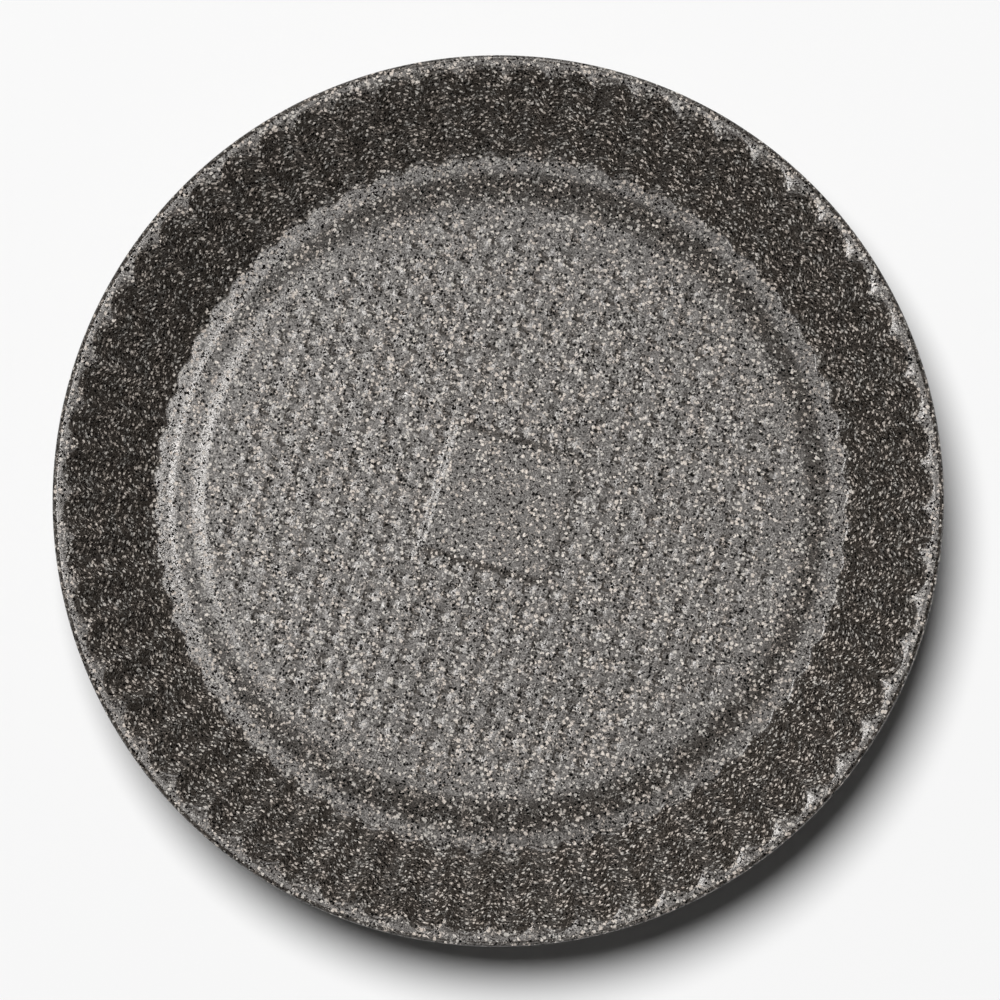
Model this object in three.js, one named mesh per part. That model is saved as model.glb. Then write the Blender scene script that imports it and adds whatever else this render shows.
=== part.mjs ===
// A round fluted tart pan, in millimetres, +Z up, standing on the plane z = 0.
// One sheet of coated steel is drawn into a base with a raised middle, a gutter that the pan
// stands on, a flared wall of flutes and a flange whose edge is rolled over a ring of wire.
import * as THREE from 'three';

// Overall size
const RIM_RADIUS = 150;
const HEIGHT = 36;
const SHEET = 0.6;

// Flutes: scoops that lie side by side and meet in inward ridges, deeper at the lip than at the foot
const FLUTES = 60;
const FOOT_RADIUS = 118.75;
const FOOT_DEPTH = 2.0;
const LIP_DEPTH = 3.4;

// Base, from the foot of the wall inwards
const GUTTER_WIDTH = 4.5;
const STEP_RUN = 9.9;
const STEP_RISE = 2.0;

// Rolled rim: the sheet turns over the wire, and LEDGE is the flat between the scoops and the roll
const LEDGE = 2.0;
const WIRE_DIAMETER = 1.8;
const WIRE_CLEARANCE = 0.3;
const ROLL_SWEEP = 250;

// Bend radii at the middle of the sheet. The lip is tighter at a scoop than on a ridge
const SHOULDER_ROUND = 40;
const FOLD_ROUND = 9;
const FOOT_ROUND = 2.8;
const LIP_SCOOP_ROUND = 3.4;
const LIP_RIDGE_ROUND = 7.0;

// Facets: steps along each bend, and where each flute is sampled between its two ridges (0 to 1)
const SHOULDER_STEPS = 3;
const BEND_STEPS = 2;
const ROLL_STEPS = 6;
const WIRE_SIDES = 6;
const PLAIN = [0];
const ROUND = [0, 0.5];
const FLUTED = [0, 0.22, 0.5, 0.78];

// The roll hugs the wire, and its outside is the outside of the pan
const wireRadius = WIRE_DIAMETER / 2;
const rollRadius = wireRadius + WIRE_CLEARANCE + SHEET / 2;
const rollCentre = new THREE.Vector2(RIM_RADIUS, HEIGHT).subScalar(rollRadius + SHEET / 2);
const flutePitch = (2 * Math.PI) / FLUTES;

// Outward swell of a flute: a parabola from ridge (0) to the middle of the scoop (1) to ridge
function scoop(u) {
  const across = u - Math.floor(u);
  return 1 - (2 * across - 1) ** 2;
}

// One bend or start point of the section: its corner, bend radius, steps and sampling round the pan
function corner(radius, height, round, steps, sampling) {
  return { at: new THREE.Vector2(radius, height), round, steps, sampling };
}

// Corners of the middle of the sheet in the half plane through the axis at u across a flute
function sectionCorners(u) {
  const gutterZ = SHEET / 2;
  const flangeZ = HEIGHT - SHEET / 2;
  const foldRadius = FOOT_RADIUS - FOOT_DEPTH - GUTTER_WIDTH;
  const inset = 1 - scoop(u);
  const lipRound = THREE.MathUtils.lerp(LIP_SCOOP_ROUND, LIP_RIDGE_ROUND, inset);
  return [
    corner(0, gutterZ + STEP_RISE, 0, 0, PLAIN),
    corner(foldRadius - STEP_RUN, gutterZ + STEP_RISE, SHOULDER_ROUND, SHOULDER_STEPS, PLAIN),
    corner(foldRadius, gutterZ, FOLD_ROUND, BEND_STEPS, PLAIN),
    corner(FOOT_RADIUS - FOOT_DEPTH * inset, gutterZ, FOOT_ROUND, BEND_STEPS, FLUTED),
    corner(rollCentre.x - LEDGE - LIP_DEPTH * inset, flangeZ, lipRound, BEND_STEPS, FLUTED),
    corner(rollCentre.x, flangeZ, 0, 0, ROUND),
  ];
}

// Stations along an arc that starts at a point with a tilt and turns by an angle (+ turns upwards)
function bend(start, tilt, turn, radius, steps, sampling) {
  const side = Math.sign(turn);
  const centre = new THREE.Vector2(-Math.sin(tilt), Math.cos(tilt)).multiplyScalar(side * radius).add(start);
  return Array.from({ length: steps + 1 }, (_, i) => {
    const angle = tilt + (turn * i) / steps;
    const at = new THREE.Vector2(Math.sin(angle), -Math.cos(angle)).multiplyScalar(side * radius).add(centre);
    return { at, tilt: angle, sampling };
  });
}

// The section as stations from the axis to the end of the roll, with every corner rounded.
// A bend takes at most half of a leg that it shares with another bend, and most of the last leg.
function section(u) {
  const corners = sectionCorners(u);
  const stations = [{ at: corners[0].at, tilt: 0, sampling: PLAIN }];
  for (let i = 1; i < corners.length - 1; i++) {
    const before = corners[i].at.clone().sub(corners[i - 1].at);
    const after = corners[i + 1].at.clone().sub(corners[i].at);
    const tilt = before.angle() > Math.PI ? before.angle() - 2 * Math.PI : before.angle();
    const turn = Math.asin(before.clone().normalize().cross(after.clone().normalize()));
    const halfTan = Math.tan(Math.abs(turn) / 2);
    const share = i + 2 < corners.length ? 0.5 : 0.95;
    const reach = Math.min(corners[i].round * halfTan, before.length() / 2, after.length() * share);
    const start = corners[i].at.clone().addScaledVector(before.normalize(), -reach);
    stations.push(...bend(start, tilt, turn, reach / halfTan, corners[i].steps, corners[i].sampling));
  }
  const rollStart = corners.at(-1);
  const rollTurn = -THREE.MathUtils.degToRad(ROLL_SWEEP);
  stations.push(...bend(rollStart.at, 0, rollTurn, rollRadius, ROLL_STEPS, rollStart.sampling));
  return stations;
}

// Points round the pan at one station, half a sheet above (side 1) or below (side -1) its middle.
// The sheet's normal leans sideways with the slope of the flute.
function ring(index, side) {
  const span = 1e-3;
  const { sampling } = section(0)[index];
  const samples = sampling.map((u) => {
    const { at, tilt } = section(u)[index];
    const spread = section(u + span)[index].at.x - section(u - span)[index].at.x;
    const slope = at.x > 0 ? spread / (2 * span * flutePitch * at.x) : 0;
    const normal = new THREE.Vector3(-Math.sin(tilt), slope * Math.sin(tilt), Math.cos(tilt)).normalize();
    return { u, point: new THREE.Vector3(at.x, 0, at.y).addScaledVector(normal, (side * SHEET) / 2) };
  });
  if (index === 0) return [samples[0].point];
  const axis = new THREE.Vector3(0, 0, 1);
  return Array.from({ length: FLUTES }, (_, flute) => samples.map(({ u, point }) =>
    point.clone().applyAxisAngle(axis, (flute + u - 0.5) * flutePitch))).flat();
}

// Skin over a list of rings, which may differ in their number of points. A ring of one point is a pole.
function skin(rings) {
  const starts = [];
  const points = [];
  for (const points3 of rings) {
    starts.push(points.length);
    points.push(...points3);
  }
  const triangles = [];
  for (let k = 0; k + 1 < rings.length; k++) {
    const [a, b] = [rings[k].length, rings[k + 1].length];
    const [stepsA, stepsB] = [a > 1 ? a : 0, b > 1 ? b : 0];
    let i = 0;
    let j = 0;
    while (i < stepsA || j < stepsB) {
      const [p, q] = [starts[k] + (i % a), starts[k + 1] + (j % b)];
      if (j < stepsB && (j + 1) * stepsA <= (i + 1) * stepsB) {
        j++;
        triangles.push(p, q, starts[k + 1] + (j % b));
      } else {
        i++;
        triangles.push(p, q, starts[k] + (i % a));
      }
    }
  }
  const geometry = new THREE.BufferGeometry().setFromPoints(points).setIndex(triangles);
  geometry.computeVertexNormals();
  return geometry;
}

// The drawn sheet: out along its upper face, round the end of the roll and back along its lower face
function pressedShell() {
  const count = section(0).length;
  const upper = Array.from({ length: count }, (_, index) => ring(index, 1));
  const lower = Array.from({ length: count }, (_, index) => ring(index, -1));
  const coat = new THREE.MeshStandardMaterial({ color: 0x3b3a39, roughness: 0.42, metalness: 0.0 });
  const mesh = new THREE.Mesh(skin([...upper, ...lower.reverse()]), coat);
  mesh.name = 'pressed_shell';
  return mesh;
}

// The wire is a round ring at the heart of the roll
function rimWire() {
  const circle = Array.from({ length: WIRE_SIDES + 1 }, (_, i) => {
    const angle = (2 * Math.PI * (i % WIRE_SIDES)) / WIRE_SIDES;
    return new THREE.Vector2(Math.cos(angle), Math.sin(angle)).multiplyScalar(wireRadius);
  });
  const profile = circle.map((point) => point.add(new THREE.Vector2(rollCentre.x, 0)));
  const geometry = new THREE.LatheGeometry(profile, FLUTES * ROUND.length);
  const steel = new THREE.MeshStandardMaterial({ color: 0x9a9ca0, roughness: 0.35, metalness: 1.0 });
  const mesh = new THREE.Mesh(geometry, steel);
  mesh.name = 'rim_wire';
  mesh.rotation.x = Math.PI / 2;
  mesh.position.z = rollCentre.y;
  return mesh;
}

const pan = new THREE.Group();
pan.add(pressedShell(), rimWire());

export default pan;
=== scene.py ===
# %% [markdown]
# # A stone-speckled fluted tart pan
#
# The pan is one sheet of steel, drawn in a press: a base with a raised, embossed middle, a gutter
# that it stands on, a flared wall of flutes, and a flange whose edge is rolled over a ring of wire.
# A sprayed non-stick coat with cream and black specks covers all of it. This lesson builds the fine
# surfaces around the engineering model, then the coat, the camera and the light.

# %% Load the frame
import math

import bpy
import numpy as np
from mathutils import Matrix, Vector
from mathutils.geometry import delaunay_2d_cdt


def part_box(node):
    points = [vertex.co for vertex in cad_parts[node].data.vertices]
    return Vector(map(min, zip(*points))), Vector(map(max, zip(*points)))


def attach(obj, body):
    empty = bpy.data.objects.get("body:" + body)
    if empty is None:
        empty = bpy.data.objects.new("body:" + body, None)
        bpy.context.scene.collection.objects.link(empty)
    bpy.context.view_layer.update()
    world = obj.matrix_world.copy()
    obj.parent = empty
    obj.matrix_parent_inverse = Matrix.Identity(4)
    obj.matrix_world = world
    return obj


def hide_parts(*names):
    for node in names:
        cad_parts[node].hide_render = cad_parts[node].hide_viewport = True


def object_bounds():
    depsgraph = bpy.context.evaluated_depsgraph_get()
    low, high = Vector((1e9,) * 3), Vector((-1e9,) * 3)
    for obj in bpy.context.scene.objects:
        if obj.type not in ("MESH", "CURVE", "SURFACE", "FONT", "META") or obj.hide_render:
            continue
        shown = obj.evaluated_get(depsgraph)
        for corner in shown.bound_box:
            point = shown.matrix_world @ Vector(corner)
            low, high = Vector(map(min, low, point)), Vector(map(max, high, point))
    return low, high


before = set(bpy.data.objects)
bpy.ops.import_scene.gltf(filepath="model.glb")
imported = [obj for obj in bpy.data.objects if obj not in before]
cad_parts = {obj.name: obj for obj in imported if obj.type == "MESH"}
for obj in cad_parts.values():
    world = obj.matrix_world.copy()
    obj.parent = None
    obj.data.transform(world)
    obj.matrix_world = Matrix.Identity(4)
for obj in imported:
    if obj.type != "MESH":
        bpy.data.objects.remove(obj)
cad_low, cad_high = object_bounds()
MM = 0.001
cad_size = [round(v / MM, 2) for v in cad_high - cad_low]
print("frame:", sorted(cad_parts), "box in mm:", cad_size)

# %% [markdown]
# ## Sizes
#
# The frame says how wide and high the pan is and where the wire lies. The roll of the rim hugs that
# wire, so its centre follows from both. The other sizes are those of the press tool: how deep the
# flutes are, how the base steps up, and how tight each bend is. They could be typed in where they
# are used. Kept together, they can be read and changed in one place.

# %% Sizes of the sheet
RIM_RADIUS = cad_high.x
HEIGHT = cad_high.z
SHEET = 0.6 * MM
ROLL_OUTER = HEIGHT - sum(corner.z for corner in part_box("rim_wire")) / 2
ROLL_RADIUS = ROLL_OUTER - SHEET / 2
ROLL_CENTRE = (RIM_RADIUS - ROLL_OUTER, HEIGHT - ROLL_OUTER)
WIRE_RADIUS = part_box("rim_wire")[1].x - ROLL_CENTRE[0]
ROLL_SWEEP = math.radians(250)

FLUTES = 60
FOOT_RADIUS = 119.4 * MM
FOOT_DEPTH = 1.7 * MM
LIP_DEPTH = 3.9 * MM
LEDGE = 2.35 * MM
GUTTER_WIDTH = 5.7 * MM
STEP_RUN = 9.9 * MM
STEP_RISE = 2.0 * MM

SHOULDER_ROUND = 40 * MM
FOLD_ROUND = 20 * MM
FOOT_ROUND = 3.4 * MM
LIP_ROUND = 2.4 * MM
roll_place = [round(v / MM, 2) for v in ROLL_CENTRE]
print("roll centre in mm:", roll_place, "wire radius:", round(WIRE_RADIUS / MM, 2))

# %% [markdown]
# ## Flutes
#
# Seen from above, a flute is a round scoop, and two scoops meet in a ridge that points inwards. One
# flute could be modelled by hand and repeated with an Array modifier. A formula is easier to carry
# along the wall, where the flutes grow deeper from foot to lip. A parabola from ridge to ridge gives
# the scoop. A press can't make a knife edge, so the distance to the nearest ridge is rounded off
# with a square root: sharply at the lip, softly at the foot.

# %% Places round the pan
HALF_FLUTE = np.array([0.035, 0.10, 0.20, 0.34])
FLUTE_PLACES = np.concatenate([[0.0], HALF_FLUTE, [0.5], 1 - HALF_FLUTE[::-1]])
across = np.tile(FLUTE_PLACES, FLUTES)
pitch_angle = 2 * np.pi / FLUTES
turn_angle = (np.repeat(np.arange(FLUTES), len(FLUTE_PLACES)) + across - 0.5) * pitch_angle
LIP_SOFTNESS = 0.03
FOOT_SOFTNESS = 0.12


def scoop(place, softness):
    """Outward swell of a flute, 0 at a ridge and 1 in the middle of the scoop.
    The distance to the nearest ridge, in flute widths, is rounded to d = sqrt(distance^2 +
    softness^2), which is largest, top, in the middle. The swell is the parabola d (2 top - d),
    stretched to run from 0 to 1."""
    nearest = np.minimum(place, 1 - place)
    rounded = np.sqrt(nearest**2 + softness**2)
    top = math.hypot(0.5, softness)
    swell = rounded * (2 * top - rounded)
    lowest = softness * (2 * top - softness)
    return (swell - lowest) / (top**2 - lowest)


print("places round the pan:", len(turn_angle))

# %% [markdown]
# ## The section
#
# Cut the pan through its axis and the sheet is a line with five bends. Each bend is an arc that
# touches the straight legs beside it. A Screw modifier could spin one such line into a plain pan. At
# the foot and the lip, though, the corner moves in and out with the flute, so every place round the
# pan has its own section. Numpy works out all of them at once: one row per station along the
# section, one column per place round the pan.

# %% Bends and legs
def bend(start_leg, corner, end_leg, radius, parts):
    """Arc that rounds one corner of the section, at the given parts of its turn, 0 to 1.
    Its reach along each leg is radius * tan(turn / 2), and its tilt runs evenly from leg to leg.
    Returns radius, height and tilt, each with one row per part."""
    first = [c - a for a, c in zip(start_leg, corner)]
    second = [b - c for c, b in zip(corner, end_leg)]
    tilt = np.arctan2(first[1], first[0])
    turn = np.arctan2(second[1], second[0]) - tilt
    side = np.sign(turn)
    reach = radius * np.tan(np.abs(turn) / 2)
    centre_r = corner[0] - reach * np.cos(tilt) - side * radius * np.sin(tilt)
    centre_z = corner[1] - reach * np.sin(tilt) + side * radius * np.cos(tilt)
    angle = tilt + turn * parts[:, None]
    return centre_r + side * radius * np.sin(angle), centre_z - side * radius * np.cos(angle), angle


def leg(before, after, steps):
    """Straight stations between two bends: start + (end - start) * k / steps, k from 1 to steps - 1.
    start is the last row of the bend before, and end the first row of the bend after."""
    parts = (np.arange(1, steps) / steps)[:, None]
    return tuple(a[-1] + (b[0] - a[-1]) * parts for a, b in zip(before, after))


def even_parts(steps, start=0.0):
    """Parts of a turn in even steps, from start to 1."""
    return np.linspace(start, 1, steps + 1)


# %% Corners of the section
gutter_z = SHEET / 2
flange_z = HEIGHT - SHEET / 2
fold_r = FOOT_RADIUS - FOOT_DEPTH - GUTTER_WIDTH
columns = np.ones_like(turn_angle)
foot_r = FOOT_RADIUS - FOOT_DEPTH * (1 - scoop(across, FOOT_SOFTNESS))
lip_r = ROLL_CENTRE[0] - LEDGE - LIP_DEPTH * (1 - scoop(across, LIP_SOFTNESS))
centre_corner = (0 * columns, (gutter_z + STEP_RISE) * columns)
shoulder_corner = ((fold_r - STEP_RUN) * columns, (gutter_z + STEP_RISE) * columns)
fold_corner = (fold_r * columns, gutter_z * columns)
foot_corner = (foot_r, gutter_z * columns)
lip_corner = (lip_r, flange_z * columns)
roll_start = (ROLL_CENTRE[0] * columns, flange_z * columns)
print("fold radius in mm:", round(fold_r / MM, 2))

# %% Stations along the section
EDGE_OF_EMBOSS = 0.72
SHOULDER_STEPS = 2
SLOPE_STEPS = 2
FOLD_STEPS = 4
GUTTER_STEPS = 2
FOOT_STEPS = 6
WALL_STEPS = 6
LIP_STEPS = 6
FLANGE_STEPS = 4
ROLL_STEPS = 14

shoulder_parts = even_parts(SHOULDER_STEPS, EDGE_OF_EMBOSS)
shoulder = bend(centre_corner, shoulder_corner, fold_corner, SHOULDER_ROUND, shoulder_parts)
fold = bend(shoulder_corner, fold_corner, foot_corner, FOLD_ROUND, even_parts(FOLD_STEPS))
foot = bend(fold_corner, foot_corner, lip_corner, FOOT_ROUND, even_parts(FOOT_STEPS))
lip = bend(foot_corner, lip_corner, roll_start, LIP_ROUND, even_parts(LIP_STEPS))
roll_tilt = -ROLL_SWEEP * even_parts(ROLL_STEPS)[:, None] * columns
roll_r = ROLL_CENTRE[0] - ROLL_RADIUS * np.sin(roll_tilt)
roll_z = ROLL_CENTRE[1] + ROLL_RADIUS * np.cos(roll_tilt)
roll = (roll_r, roll_z, roll_tilt)
drawn = [
    shoulder,
    leg(shoulder, fold, SLOPE_STEPS),
    fold,
    leg(fold, foot, GUTTER_STEPS),
    foot,
    leg(foot, lip, WALL_STEPS),
    lip,
    leg(lip, roll, FLANGE_STEPS),
]
drawn_r, drawn_z, drawn_tilt = (np.concatenate(rows) for rows in zip(*drawn))
print("stations before the roll:", len(drawn_r))

# %% [markdown]
# ## Apron and groove
#
# The flange is not quite level: as the punch goes in, it drags the tongues between the scoops down,
# so they slope inwards like an apron. The gutter isn't level either: it sinks towards the foot of
# the wall, where the punch presses hardest, and follows the flutes there. Both could be more corners
# of the section. As heights that depend on the radius alone, they leave its bends as they are.

# %% Apron of the flange and groove at the foot
APRON_EDGE = 147.0 * MM
APRON_WIDTH = 5.0 * MM
APRON_END = 25.0 * MM
APRON_SLOPE = 0.15
GROOVE_DEPTH = 0.12 * MM
GROOVE_WIDTH = 1.6 * MM
SLOPE_SPAN = 0.3 * MM


def smooth(low, high, value):
    """Smooth step: 0 below low, 1 above high, 3 t^2 - 2 t^3 between."""
    t = np.clip((value - low) / (high - low), 0, 1)
    return t * t * (3 - 2 * t)


def apron_dip(radius):
    """Depth of the apron: slope times the way inwards from its edge, at most its width.
    A smooth step fades it out along the wall."""
    inward = np.clip(APRON_EDGE - radius, 0, None)
    fade = 1 - smooth(APRON_WIDTH, APRON_END, inward)
    return APRON_SLOPE * np.minimum(inward, APRON_WIDTH) * fade


def groove_rise(radius):
    """Height of the gutter over the groove: depth times 1 - exp(-x / width).
    x is the way inwards from the start of the foot's bend."""
    inward = np.clip(foot[0][0] - radius, 0, None)
    return GROOVE_DEPTH * (1 - np.exp(-inward / GROOVE_WIDTH))


def bent_height(radius):
    """What the groove adds to the height of the section and the apron takes from it."""
    return groove_rise(radius) - apron_dip(radius)


rise_over_span = bent_height(drawn_r + SLOPE_SPAN) - bent_height(drawn_r - SLOPE_SPAN)
added_slope = rise_over_span / (2 * SLOPE_SPAN)
drawn_z = drawn_z + bent_height(drawn_r)
drawn_tilt = np.arctan2(np.sin(drawn_tilt) + added_slope * np.cos(drawn_tilt), np.cos(drawn_tilt))
with_roll = zip((drawn_r, drawn_z, drawn_tilt), roll)
station_r, station_z, station_tilt = (np.concatenate(rows) for rows in with_roll)
print("stations along the section:", len(station_r))

# %% [markdown]
# ## Thickness
#
# The stations follow the middle of the sheet. A Solidify modifier could thicken it. Here half a
# sheet along the normal to either side gives the two faces, because the true normal is known: on a
# flute's flank it leans sideways by the slope of the flute, so the wall keeps its thickness there.
# The face below is hardly seen, so it gets every second station only.

# %% Two faces of the sheet
LOWER_SKIP = 2


def face_normals():
    """Unit normals of the upper face, shaped (stations, places, 3).
    With tilt t and sideways slope q = (dr / dangle) / r, the normal is (-sin t, q sin t, cos t) in
    the directions outwards, round and up."""
    spread = np.roll(station_r, -1, axis=1) - np.roll(station_r, 1, axis=1)
    gap = (np.roll(turn_angle, -1) - np.roll(turn_angle, 1)) % (2 * np.pi)
    slope = spread / gap / station_r
    out, side, z = -np.sin(station_tilt), slope * np.sin(station_tilt), np.cos(station_tilt)
    cos, sin = np.cos(turn_angle), np.sin(turn_angle)
    normal = np.stack([out * cos - side * sin, out * sin + side * cos, z], axis=-1)
    return normal / np.linalg.norm(normal, axis=-1, keepdims=True)


upper_normals = face_normals()
middle_x = station_r * np.cos(turn_angle)
middle_y = station_r * np.sin(turn_angle)
middle = np.stack([middle_x, middle_y, station_z], axis=-1)
upper_rings = middle + upper_normals * SHEET / 2
lower_rings = (middle - upper_normals * SHEET / 2)[::-LOWER_SKIP]
rings = np.concatenate([upper_rings, lower_rings])
ring_normals = np.concatenate([upper_normals, -upper_normals[::-LOWER_SKIP]])
print("rings from the emboss, round the roll and back:", len(rings))

# %% [markdown]
# ## Embossed middle
#
# The raised middle is stiffened by an emboss: rows of small square dimples. Beside each one lies a
# shallow hollow, and on its other side the sheet bulges, where the punch pushed it out. One plain
# raised square sits in the centre. A bump texture could fake all this. It is real geometry here,
# because light has to turn over on it as on the real pan.

# %% Emboss as a height over the plane
EMBOSS_PITCH = 8.56 * MM
CREST_START = 97.7 * MM
CREST_END = 101.0 * MM
SINK = 0.10 * MM
DIMPLE_DEPTH = 0.24 * MM
HOLLOW_DEPTH = 0.13 * MM
BULGE_RISE = 0.20 * MM
PAD_RISE = 0.42 * MM

# Places and widths in cells
HOLLOW_CENTRE = (0.06, 0.16)
HOLLOW_HALF = (0.42, 0.33)
BULGE_CENTRE = (-0.15, -0.20)
BULGE_HALF = (0.35, 0.30)
PAD_CELLS = 2.45
PAD_FLANK = 0.3
FIELD_REACH = 11.2
LAST_FULL_ROW = 10
DIMPLE_FLOOR = 0.11
DIMPLE_RIM = 0.25
SQUARENESS = 8


def ramp(low, high, value):
    """Chamfer from 0 at low to 1 at high: t - 0.4 sin(2 pi t) / (2 pi).
    It is straighter than a smooth step."""
    t = np.clip((value - low) / (high - low), 0, 1)
    return t - 0.4 * np.sin(2 * np.pi * t) / (2 * np.pi)


def mound(a, b, centre, half):
    """Soft mound of height 1: a smooth step down along each axis, multiplied.
    It ends at half its width from the centre."""
    along_a = smooth(0, half[0], abs(a - centre[0]))
    along_b = smooth(0, half[1], abs(b - centre[1]))
    return (1 - along_a) * (1 - along_b)


def emboss_height(x, y):
    """Height of the emboss at x, y over the crest that rings it.
    The field lies sunk inside the crest, a smooth step of the radius, and the pad is a chamfered
    square on it. Each cell of the field is a bulge less a hollow, and the dimple leads from there
    down to a level floor. The dimple is square with rounded corners: the distance from its middle
    is (|a|^n + |b|^n)^(1/n)."""
    u, v = x / EMBOSS_PITCH, y / EMBOSS_PITCH
    i, j = np.round(u), np.round(v)
    a, b = u - i, v - j
    sunk = 1 - smooth(CREST_START, CREST_END, np.hypot(x, y))
    from_centre = np.maximum(abs(u), abs(v))
    pad = PAD_RISE * (1 - ramp(PAD_CELLS, PAD_CELLS + PAD_FLANK, from_centre))
    row = np.maximum(abs(i), abs(j))
    in_row = (row <= LAST_FULL_ROW) | (i * j == 0)
    in_field = in_row & (row > PAD_CELLS) & (np.hypot(i, j) < FIELD_REACH)
    away = (abs(a) ** SQUARENESS + abs(b) ** SQUARENESS) ** (1 / SQUARENESS)
    dimple = 1 - ramp(DIMPLE_FLOOR, DIMPLE_RIM, away)
    hollow = HOLLOW_DEPTH * mound(a, b, HOLLOW_CENTRE, HOLLOW_HALF)
    bulge = BULGE_RISE * mound(a, b, BULGE_CENTRE, BULGE_HALF)
    cell = (bulge - hollow) * (1 - dimple) - DIMPLE_DEPTH * dimple
    return in_field * cell + pad - SINK * sunk


SAMPLE_ROW = 4
sample_floor = emboss_height(SAMPLE_ROW * EMBOSS_PITCH, 0.0)
print("a dimple's floor against the crest in mm:", round(float(sample_floor) / MM, 3))

# %% Base under the emboss
NORMAL_SPAN = 0.05 * MM
shoulder_reach = SHOULDER_ROUND * math.tan(math.atan2(STEP_RISE, STEP_RUN) / 2)
shoulder_start = fold_r - STEP_RUN - shoulder_reach


def base_height(x, y):
    """Height of the middle of the sheet: the emboss on a flat that ends in the shoulder's arc.
    At x past its start the arc, of radius R, has fallen by R - sqrt(R^2 - x^2)."""
    fall = np.clip(np.hypot(x, y) - shoulder_start, 0, None)
    crown = np.sqrt(SHOULDER_ROUND**2 - fall**2) - SHOULDER_ROUND
    return gutter_z + GROOVE_DEPTH + STEP_RISE + crown + emboss_height(x, y)


def base_normal(x, y):
    """Unit normal of the base, from the height's slopes over a short span."""
    rise_x = base_height(x + NORMAL_SPAN, y) - base_height(x - NORMAL_SPAN, y)
    rise_y = base_height(x, y + NORMAL_SPAN) - base_height(x, y - NORMAL_SPAN)
    slope_x = rise_x / (2 * NORMAL_SPAN)
    slope_y = rise_y / (2 * NORMAL_SPAN)
    normal = np.stack([-slope_x, -slope_y, np.ones_like(x)], axis=1)
    return normal / np.linalg.norm(normal, axis=1, keepdims=True)


print("shoulder starts at mm:", round(shoulder_start / MM, 2))

# %% [markdown]
# The emboss is a square grid in a round sheet. Grid lines are put only where the height bends, which
# keeps the mesh light, and a Delaunay triangulation joins the square grid to the round edge. A fine,
# even grid with a cut-out would need many times the triangles for the same sharpness.

# %% Grid points inside the round edge
EDGE_MARGIN = 0.6 * MM
WHOLE_HULL = 0
SAME_POINT = 1e-7
edge_radius = station_r[0, 0]
edge = edge_radius * np.stack([np.cos(turn_angle), np.sin(turn_angle)], axis=1)


def emboss_grid(half_cell):
    """Points of a square grid inside the round edge, and the triangles that join them to it.
    half_cell lists where the lines lie from the middle of a cell to its border, in cells. In the
    triangles the edge's points come first and the grid's points follow."""
    cell_lines = np.concatenate([-half_cell[::-1], half_cell, [0.5]])
    cell_count = int(edge_radius / EMBOSS_PITCH) + 1
    cells = np.arange(-cell_count, cell_count + 1)[:, None]
    lines = (cells + cell_lines).ravel() * EMBOSS_PITCH
    grid = np.stack([g.ravel() for g in np.meshgrid(lines, lines)], axis=1)
    grid = grid[np.linalg.norm(grid, axis=1) < edge_radius - EDGE_MARGIN]
    points = np.concatenate([edge, grid]).tolist()
    triangles = delaunay_2d_cdt(points, [], [], WHOLE_HULL, SAME_POINT)[2]
    return grid, np.array(triangles)


dimple_wall = (DIMPLE_FLOOR + DIMPLE_RIM) / 2
between_dimples = (DIMPLE_RIM + 0.5) / 2
fine_lines = np.array([DIMPLE_FLOOR, dimple_wall, DIMPLE_RIM, between_dimples])
coarse_lines = np.array([DIMPLE_FLOOR, DIMPLE_RIM])
upper_grid, upper_flat = emboss_grid(fine_lines)
lower_grid, lower_flat = emboss_grid(coarse_lines)
print("emboss triangles above and below:", len(upper_flat), len(lower_flat))

# %% [markdown]
# ## One closed sheet
#
# The rings make a band from the edge of the emboss, out round the roll and back underneath. The
# emboss closes it above and below: the points on its edge are the first and last ring. The parts
# could stay loose and only touch. Joined, the whole pan is one closed surface, as the real one is
# one sheet, and no seam can open in the light.

# %% Mesh helpers
def new_piece(name, points, faces, normals=None):
    """A mesh object from an array of points and lists of face corners, shaded smooth.
    normals, if given, are the true normals of the surface at its points."""
    mesh = bpy.data.meshes.new(name)
    mesh.from_pydata(points, [], faces)
    mesh.polygons.foreach_set("use_smooth", np.ones(len(mesh.polygons), bool))
    if normals is not None:
        mesh.normals_split_custom_set_from_vertices(normals)
    mesh.update()
    piece = bpy.data.objects.new(name, mesh)
    bpy.context.scene.collection.objects.link(piece)
    return piece


def band_faces(ring_count, place_count):
    """Quads between neighbouring rings, with the last place joined to the first."""
    pairs = np.meshgrid(np.arange(ring_count - 1), np.arange(place_count), indexing="ij")
    k, i = (a.ravel() for a in pairs)
    after = (i + 1) % place_count
    start, end = k * place_count, (k + 1) * place_count
    return np.stack([start + i, end + i, end + after, start + after], axis=1)


def on_base(grid, lift):
    """Grid points put on the base, lifted along the axis."""
    x, y = grid.T
    return np.stack([x, y, base_height(x, y) + lift], axis=1)


# %% Mesh of the sheet
places = len(turn_angle)
upper_points = on_base(upper_grid, SHEET / 2)
lower_points = on_base(lower_grid, -SHEET / 2)
sheet_points = np.concatenate([rings.reshape(-1, 3), upper_points, lower_points])
emboss_normals = [base_normal(*upper_grid.T), -base_normal(*lower_grid.T)]
sheet_normals = np.concatenate([ring_normals.reshape(-1, 3), *emboss_normals])

last_ring = (len(rings) - 1) * places
lower_start = last_ring + len(upper_grid)
upper_faces = np.where(upper_flat < places, upper_flat, upper_flat + last_ring)
lower_faces = np.where(lower_flat < places, lower_flat + last_ring, lower_flat + lower_start)
emboss_faces = upper_faces.tolist() + lower_faces[:, ::-1].tolist()
sheet_faces = band_faces(len(rings), places).tolist() + emboss_faces
pan_sheet = new_piece("pan_sheet", sheet_points, sheet_faces, sheet_normals)
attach(pan_sheet, "root")
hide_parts("pressed_shell")
print("pan_sheet triangles:", sum(len(p) - 2 for p in sheet_faces))

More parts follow.
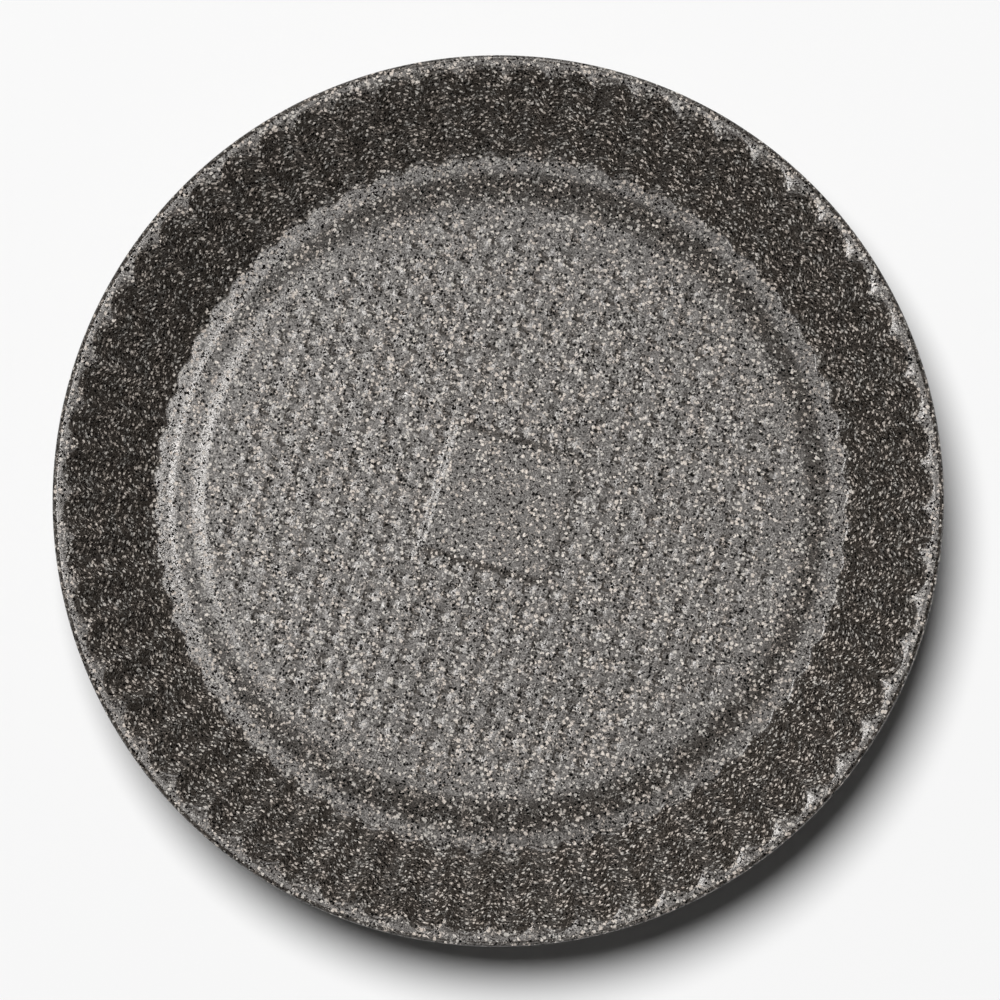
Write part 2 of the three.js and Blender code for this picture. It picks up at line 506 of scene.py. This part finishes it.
# %% [markdown]
# ## Wire in the rim
#
# The wire keeps the thin rim round, and only shows as a glint in the slit under the roll. It is a
# torus: a circle carried round the axis. Blender can add one ready made. The formula puts it straight
# into the pan's own frame, at the radius and height that the frame gives.

# %% Mesh of the wire
WIRE_PLACES = 240
WIRE_SIDES = 14


def torus_points(ring_radius, tube_radius, height, place_count, side_count):
    """Torus: radius = R + r cos b and height = h + r sin b.
    a is the angle round the axis and b the angle round the tube."""
    a = np.arange(place_count) * 2 * np.pi / place_count
    b = np.arange(side_count)[:, None] * 2 * np.pi / side_count
    radius = ring_radius + tube_radius * np.cos(b)
    z = height + tube_radius * np.sin(b) + 0 * a
    return np.stack([radius * np.cos(a), radius * np.sin(a), z], axis=-1).reshape(-1, 3)


wire_points = torus_points(ROLL_CENTRE[0], WIRE_RADIUS, ROLL_CENTRE[1], WIRE_PLACES, WIRE_SIDES)
wire_faces = band_faces(WIRE_SIDES + 1, WIRE_PLACES) % len(wire_points)
round_wire = new_piece("round_wire", wire_points, wire_faces[:, ::-1].tolist())
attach(round_wire, "root")
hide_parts("rim_wire")
print("round_wire faces:", len(wire_faces))

# %% [markdown]
# ## Shader maths as Python
#
# A material is a graph of nodes, usually wired up by hand in the Shader Editor. To read it as a
# formula instead, a small class wraps a socket and turns +, - and * into Math nodes. One function
# adds any other node: first its settings, then the values or links of its sockets.

# %% Expressions on sockets
class Shade:
    """A shader socket that can stand in Python expressions."""

    def __init__(self, tree, socket):
        self.tree = tree
        self.socket = socket

    def math(self, operation, *values):
        """A Math node on the given values."""
        sockets = dict(enumerate(values))
        node = add_node(self.tree, "ShaderNodeMath", {"operation": operation}, sockets)
        return Shade(self.tree, node.outputs[0])

    def __add__(self, other):
        return self.math("ADD", self, other)

    def __sub__(self, other):
        return self.math("SUBTRACT", self, other)

    def __rsub__(self, other):
        return self.math("SUBTRACT", other, self)

    def __mul__(self, other):
        return self.math("MULTIPLY", self, other)

    def step(self, low, high):
        """Smooth step from 0 at low to 1 at high."""
        settings = {"interpolation_type": "SMOOTHSTEP"}
        sockets = {"Value": self, "From Min": low, "From Max": high}
        node = add_node(self.tree, "ShaderNodeMapRange", settings, sockets)
        return Shade(self.tree, node.outputs[0])

    __radd__ = __add__
    __rmul__ = __mul__


def add_node(tree, kind, settings, sockets):
    """Any node: its settings are set first, then its sockets get a value or a link."""
    node = tree.nodes.new(kind)
    for name, value in settings.items():
        setattr(node, name, value)
    for key, value in sockets.items():
        if isinstance(value, Shade):
            tree.links.new(value.socket, node.inputs[key])
        else:
            node.inputs[key].default_value = value
    return node


def output(tree, node, name):
    """One output of a node, ready for expressions."""
    return Shade(tree, node.outputs[name])


def new_material(name):
    """A new material, its node tree and its Principled shader."""
    material = bpy.data.materials.new(name)
    material.use_nodes = True
    return material, material.node_tree, material.node_tree.nodes["Principled BSDF"]


# %% [markdown]
# ## Specks
#
# The coat is sprayed: a dark warm grey ground, then spatters of cream and of black. A picture of
# such a coat could be wrapped round the pan, but it would stretch on the wall and show a seam. So
# the specks are made in space. A Voronoi texture scatters points, each point's own random numbers
# decide whether it carries a speck and how large, and a little noise on the coordinates makes the
# specks ragged.

# %% Specks and noise
SHARP = 0.001


def object_place(tree):
    """Object coordinates, in metres in the pan's own frame."""
    return output(tree, add_node(tree, "ShaderNodeTexCoord", {}, {}), "Object")


def noise_at(tree, place, grain, detail):
    """Cloudy noise from 0 to 1, whose blobs are about one grain wide."""
    sockets = {"Vector": place, "Scale": 1 / grain, "Detail": detail}
    return output(tree, add_node(tree, "ShaderNodeTexNoise", {}, sockets), "Fac")


def ragged_place(tree, place, push, grain):
    """Coordinates pushed about: place + push * (noise - 1/2), with noise of the given grain."""
    sockets = {"Vector": place, "Scale": 1 / grain, "Detail": 2.0}
    noise = add_node(tree, "ShaderNodeTexNoise", {}, sockets)
    sockets = {0: output(tree, noise, "Color"), 1: (0.5, 0.5, 0.5)}
    centred = add_node(tree, "ShaderNodeVectorMath", {"operation": "SUBTRACT"}, sockets)
    sockets = {0: output(tree, centred, "Vector"), 1: (push, push, push), 2: place}
    pushed = add_node(tree, "ShaderNodeVectorMath", {"operation": "MULTIPLY_ADD"}, sockets)
    return output(tree, pushed, "Vector")


def specks(tree, place, cell, share, largest, soft):
    """A mask that is 1 inside the specks and 0 between them, and a random number for each speck.
    cell is the spacing of the points. A share of them carry a speck, whose radius lies between half
    of largest and largest. soft is the width of a speck's blurred edge. All lengths are in metres.
    The mask is a smooth step, from 0 to soft, of the radius less the distance to the point."""
    sockets = {"Vector": place, "Scale": 1 / cell}
    points = add_node(tree, "ShaderNodeTexVoronoi", {"feature": "F1"}, sockets)
    chance = add_node(tree, "ShaderNodeSeparateColor", {}, {0: output(tree, points, "Color")})
    carries = output(tree, chance, "Red").step(1 - share, 1 - share + SHARP)
    radius = (0.5 + 0.5 * output(tree, chance, "Green")) * carries * (largest / cell)
    mask = (radius - output(tree, points, "Distance")).step(0, soft / cell)
    return mask, output(tree, chance, "Blue")


def mix_colours(tree, mask, under, over):
    """under where the mask is 0, over where it is 1."""
    node = add_node(tree, "ShaderNodeMix", {"data_type": "RGBA"}, {"Factor": mask})
    for key, value in (("A", under), ("B", over)):
        socket = next(s for s in node.inputs if s.name == key and s.type == "RGBA")
        if isinstance(value, Shade):
            tree.links.new(value.socket, socket)
        else:
            socket.default_value = (*value, 1)
    return Shade(tree, next(s for s in node.outputs if s.type == "RGBA"))


# %% [markdown]
# ## The stone coat
#
# The ground shines, with fine dull pores in its gloss. The specks are dry pigment: the cream ones
# stand a little proud, the black ones are tiny pits, and neither shines. One shader with a changing
# roughness could come near to that. Two are mixed instead, a glossy and a dull one, because a speck
# without any gloss stays dark or cream even where the ground mirrors a light.

# %% Colours and sizes of the coat
GROUND_DARK = (0.010, 0.0085, 0.007)
GROUND_LIGHT = (0.046, 0.039, 0.033)
CREAM = (0.72, 0.68, 0.635)
BEIGE = (0.40, 0.36, 0.325)
COOL_GREY = (0.34, 0.335, 0.32)
BLACK = (0.004, 0.004, 0.004)
GLOSS_ROUGHNESS = 0.32
GLOSS_IOR = 1.65
DULL_ROUGHNESS = 0.9
PORE_SHARE = 0.68
SMALL_COVER = 0.75

# Spacing, share, largest radius and blurred edge of each kind of speck
LARGE_SPECKS = (1.60 * MM, 0.72, 0.70 * MM, 0.08 * MM)
SMALL_SPECKS = (0.85 * MM, 0.40, 0.38 * MM, 0.10 * MM)
BLACK_SPECKS = (1.05 * MM, 0.62, 0.55 * MM, 0.07 * MM)
RAGGED_PUSH = 1.5 * MM
RAGGED_GRAIN = 0.75 * MM
FINE_GRAIN = 0.5 * MM
CLOUD_GRAIN = 1.6 * MM
DRIFT_GRAIN = 6 * MM

# Noise levels between which each mask runs from 0 to 1
DRIFT_STEP = (0.4, 0.6)
GROUND_STEP = (0.30, 0.70)
CLOUD_STEP = (0.55, 0.71)
CORE_STEP = (0.38, 0.58)
PORE_STEP = (0.36, 0.60)

# Heights of the relief in millimetres
LARGE_HEIGHT = 0.02
SMALL_HEIGHT = 0.015
BLACK_DEPTH = 0.03
GRAIN_HEIGHT = 0.03


# %% Stone coat material
def stone_coat():
    """Ground, clouds, black, small and large specks, each mixed over the one before by its mask.
    The dull shader's part is 1 - gloss * (1 - pores), and gloss is 0 on large and black specks."""
    material, tree, shader = new_material("stone_coat")
    place = object_place(tree)
    ragged = ragged_place(tree, place, RAGGED_PUSH, RAGGED_GRAIN)
    grain = noise_at(tree, place, FINE_GRAIN, detail=2.0)
    cloud = noise_at(tree, place, CLOUD_GRAIN, detail=2.0)
    drift = noise_at(tree, place, DRIFT_GRAIN, detail=1.0)
    large, tint = specks(tree, ragged, *LARGE_SPECKS)
    small, _ = specks(tree, ragged, *SMALL_SPECKS)
    black, _ = specks(tree, ragged, *BLACK_SPECKS)

    pale = grain.step(*GROUND_STEP)
    core = tint * grain.step(*CORE_STEP)
    warm = mix_colours(tree, drift.step(*DRIFT_STEP), COOL_GREY, BEIGE)
    colour = mix_colours(tree, pale, GROUND_DARK, GROUND_LIGHT)
    colour = mix_colours(tree, cloud.step(*CLOUD_STEP) * pale, colour, warm)
    colour = mix_colours(tree, black, colour, BLACK)
    colour = mix_colours(tree, small * SMALL_COVER, colour, warm)
    colour = mix_colours(tree, large, colour, mix_colours(tree, core, warm, CREAM))

    relief = large * LARGE_HEIGHT + small * SMALL_HEIGHT - black * BLACK_DEPTH + grain * GRAIN_HEIGHT
    bump = add_node(tree, "ShaderNodeBump", {}, {"Height": relief, "Strength": 1.0, "Distance": MM})
    normal = output(tree, bump, "Normal")
    tree.links.new(colour.socket, shader.inputs["Base Color"])
    tree.links.new(normal.socket, shader.inputs["Normal"])
    shader.inputs["Roughness"].default_value = GLOSS_ROUGHNESS
    shader.inputs["IOR"].default_value = GLOSS_IOR
    sockets = {"Base Color": colour, "Normal": normal}
    sockets.update({"Roughness": DULL_ROUGHNESS, "Specular IOR Level": 0.0})
    dull_shader = add_node(tree, "ShaderNodeBsdfPrincipled", {}, sockets)

    gloss = (1 - black * (1 - large)) * (1 - large)
    pores = PORE_SHARE * (1 - grain.step(*PORE_STEP))
    dull = 1 - gloss * (1 - pores)
    sockets = {0: dull, 1: output(tree, shader, "BSDF"), 2: output(tree, dull_shader, "BSDF")}
    surface = add_node(tree, "ShaderNodeMixShader", {}, sockets)
    tree.links.new(surface.outputs[0], tree.nodes["Material Output"].inputs["Surface"])
    return material


pan_sheet.data.materials.append(stone_coat())
print("stone coat nodes:", len(pan_sheet.data.materials[0].node_tree.nodes))

# %% [markdown]
# ## Wire steel
#
# Drawn wire is bright steel, a little duller in some stretches than in others. One plain metal would
# do for what little is seen of it. A soft noise on colour and roughness keeps the glint from looking
# like plastic.

# %% Wire steel material
WIRE_DARK = (0.42, 0.42, 0.43)
WIRE_LIGHT = (0.62, 0.62, 0.63)
WIRE_GRAIN = 2.5 * MM
WIRE_SMOOTHEST = 0.25
WIRE_ROUGHER = 0.25


def wire_steel():
    """Metal with one noise in it: it mixes two colours, and roughness is lowest + range * noise."""
    material, tree, shader = new_material("wire_steel")
    drift = noise_at(tree, object_place(tree), WIRE_GRAIN, detail=4.0)
    colour = mix_colours(tree, drift, WIRE_DARK, WIRE_LIGHT)
    roughness = WIRE_SMOOTHEST + WIRE_ROUGHER * drift
    tree.links.new(colour.socket, shader.inputs["Base Color"])
    tree.links.new(roughness.socket, shader.inputs["Roughness"])
    shader.inputs["Metallic"].default_value = 1.0
    return material


round_wire.data.materials.append(wire_steel())
print("wire steel nodes:", len(round_wire.data.materials[0].node_tree.nodes))

# %% [markdown]
# ## Camera
#
# The photograph looks almost straight down from far away. The deeper rings of the pan lie a few
# pixels off the middle of the rim, so the camera stands a couple of degrees towards the lower right
# and is aimed at the middle of the rim. A Track To constraint could aim it. Three axes in a matrix
# do the same, and the lamps use them too. The pan is turned on the table, so the picture's right and
# up are turned against the pan's X and Y.

# %% Directions in the picture
PICTURE_TURN = math.radians(16.15)
right = Vector((math.cos(PICTURE_TURN), math.sin(PICTURE_TURN), 0))
up = Vector((-math.sin(PICTURE_TURN), math.cos(PICTURE_TURN), 0))


def in_picture(to_right, to_up, height):
    """A point given along the picture's right, the picture's up and the pan's axis."""
    return right * to_right + up * to_up + Vector((0, 0, height))


def turned(side, top, back):
    """Matrix whose columns are the three given axes."""
    return Matrix((side, top, back)).transposed().to_4x4()


# %% Camera at the photograph's place
CAMERA_RISE = 3.0
CAMERA_SHIFT = (0.089, -0.072)
RIM_PIXELS = 446.2
RIM_CENTRE_PIXELS = (497.4, 500.3)
PICTURE_PIXELS = 1000
SENSOR = 36.0

rim_centre = Vector((0, 0, HEIGHT))
camera_place = in_picture(*CAMERA_SHIFT, HEIGHT + CAMERA_RISE)
camera_back = (camera_place - rim_centre).normalized()
camera_side = up.cross(camera_back).normalized()
picture_width = PICTURE_PIXELS * RIM_RADIUS / RIM_PIXELS
lens = bpy.data.cameras.new("camera")
lens.sensor_width = SENSOR
lens.lens = SENSOR * (camera_place - rim_centre).length / picture_width
lens.shift_x = 0.5 - RIM_CENTRE_PIXELS[0] / PICTURE_PIXELS
lens.shift_y = RIM_CENTRE_PIXELS[1] / PICTURE_PIXELS - 0.5
camera = bpy.data.objects.new("camera", lens)
camera.matrix_world = turned(camera_side, camera_back.cross(camera_side), camera_back)
camera.matrix_world.translation = camera_place
bpy.context.scene.collection.objects.link(camera)
bpy.context.scene.camera = camera
print("lens in mm:", round(lens.lens, 1))

# %% [markdown]
# ## Floor
#
# The pan stands on a plain white table. A studio sweep that curves up behind it could be built, but
# a view from above never sees one. One flat square is enough, pale and without gloss, so that it
# takes the shadow and mirrors nothing.

# %% Floor
FLOOR_REACH = 3.0
FLOOR_GREY = 0.9
FLOOR_ROUGHNESS = 0.9
corner_signs = ((-1, -1), (1, -1), (1, 1), (-1, 1))
floor_corners = [(x * FLOOR_REACH, y * FLOOR_REACH, 0) for x, y in corner_signs]
floor = new_piece("floor", floor_corners, [(0, 1, 2, 3)])


def pale_floor():
    """A pale, dull grey."""
    material, _, shader = new_material("pale_floor")
    shader.inputs["Base Color"].default_value = (FLOOR_GREY, FLOOR_GREY, FLOOR_GREY, 1)
    shader.inputs["Roughness"].default_value = FLOOR_ROUGHNESS
    shader.inputs["Specular IOR Level"].default_value = 0.0
    return material


floor.data.materials.append(pale_floor())
print("floor is", 2 * FLOOR_REACH, "m wide")

# %% [markdown]
# ## Light
#
# A small key light stands to the left, 17 degrees off the vertical. What leans left by half of that
# mirrors it into the camera, which gives the bright shoulder and lip. A broad light overhead sheens
# the level base, and four low fills open up the walls. A sky texture could do the same in one go,
# but softboxes can be set one by one against the picture. The photograph's shadow falls to the lower
# right, unlike the light on the pan, so the floor has a light of its own.

# %% Softboxes
WARM = (1.0, 0.97, 0.945)
WHITE = (1.0, 1.0, 1.0)
PAN_LIGHT_DISTANCE = 4.0
FLOOR_LIGHT_DISTANCE = 20.0


def softbox(name, lean, azimuth, size, level, distance, tint, receivers):
    """A round area light that leans off the vertical towards an azimuth in the picture.
    Both are in degrees, the azimuth anticlockwise from the picture's right. level is the brightness
    it gives a white floor under it: P cos(lean) / (pi distance)^2 for a power of P. Only the
    receivers are lit by it."""
    lean, azimuth = math.radians(lean), math.radians(azimuth)
    light = bpy.data.lights.new(name, "AREA")
    light.shape = "DISK"
    light.color = tint
    light.size = size
    light.energy = level * math.pi * math.pi * distance**2 / math.cos(lean)
    lamp = bpy.data.objects.new(name, light)
    sideways = math.sin(lean)
    back = in_picture(sideways * math.cos(azimuth), sideways * math.sin(azimuth), math.cos(lean))
    side = Vector((-back.y, back.x, 0)).normalized()
    lamp.matrix_world = turned(side, back.cross(side), back)
    lamp.matrix_world.translation = back * distance
    bpy.context.scene.collection.objects.link(lamp)
    group = bpy.data.collections.new(name)
    for piece in receivers:
        group.objects.link(piece)
    lamp.light_linking.receiver_collection = group


# Lean, azimuth, size and level of each light
FLOOR_LIGHT = (24, 114, 10.5, 1.07)
pan_lights = {
    "key": (17, 168, 0.40, 0.585),
    "overhead": (10, 10, 0.90, 0.185),
    "top_fill": (60, 86, 2.4, 0.31),
    "bottom_fill": (58, 270, 2.4, 0.155),
    "left_fill": (62, 180, 2.4, 0.055),
    "right_fill": (62, 20, 2.4, 0.025),
}
for light_name, shape in pan_lights.items():
    softbox(light_name, *shape, PAN_LIGHT_DISTANCE, WARM, [pan_sheet, round_wire])
softbox("floor_key", *FLOOR_LIGHT, FLOOR_LIGHT_DISTANCE, WHITE, [floor])
print("lights:", len(pan_lights) + 1)

# %% [markdown]
# The room adds a faint light from all round. The camera sees it as a white backdrop behind the
# floor's edge: a Light Path node tells the camera's own rays from the others.

# %% World
WORLD_LEVEL = 0.04
BACKDROP_LEVEL = 0.93
world = bpy.data.worlds.new("studio")
world.use_nodes = True
room = world.node_tree
to_camera = output(room, add_node(room, "ShaderNodeLightPath", {}, {}), "Is Camera Ray")
strength = WORLD_LEVEL + (BACKDROP_LEVEL - WORLD_LEVEL) * to_camera
background = room.nodes["Background"]
background.inputs["Color"].default_value = (1, 1, 1, 1)
room.links.new(strength.socket, background.inputs["Strength"])
bpy.context.scene.world = world
bpy.context.scene.view_settings.view_transform = "Standard"
print("world nodes:", len(room.nodes))
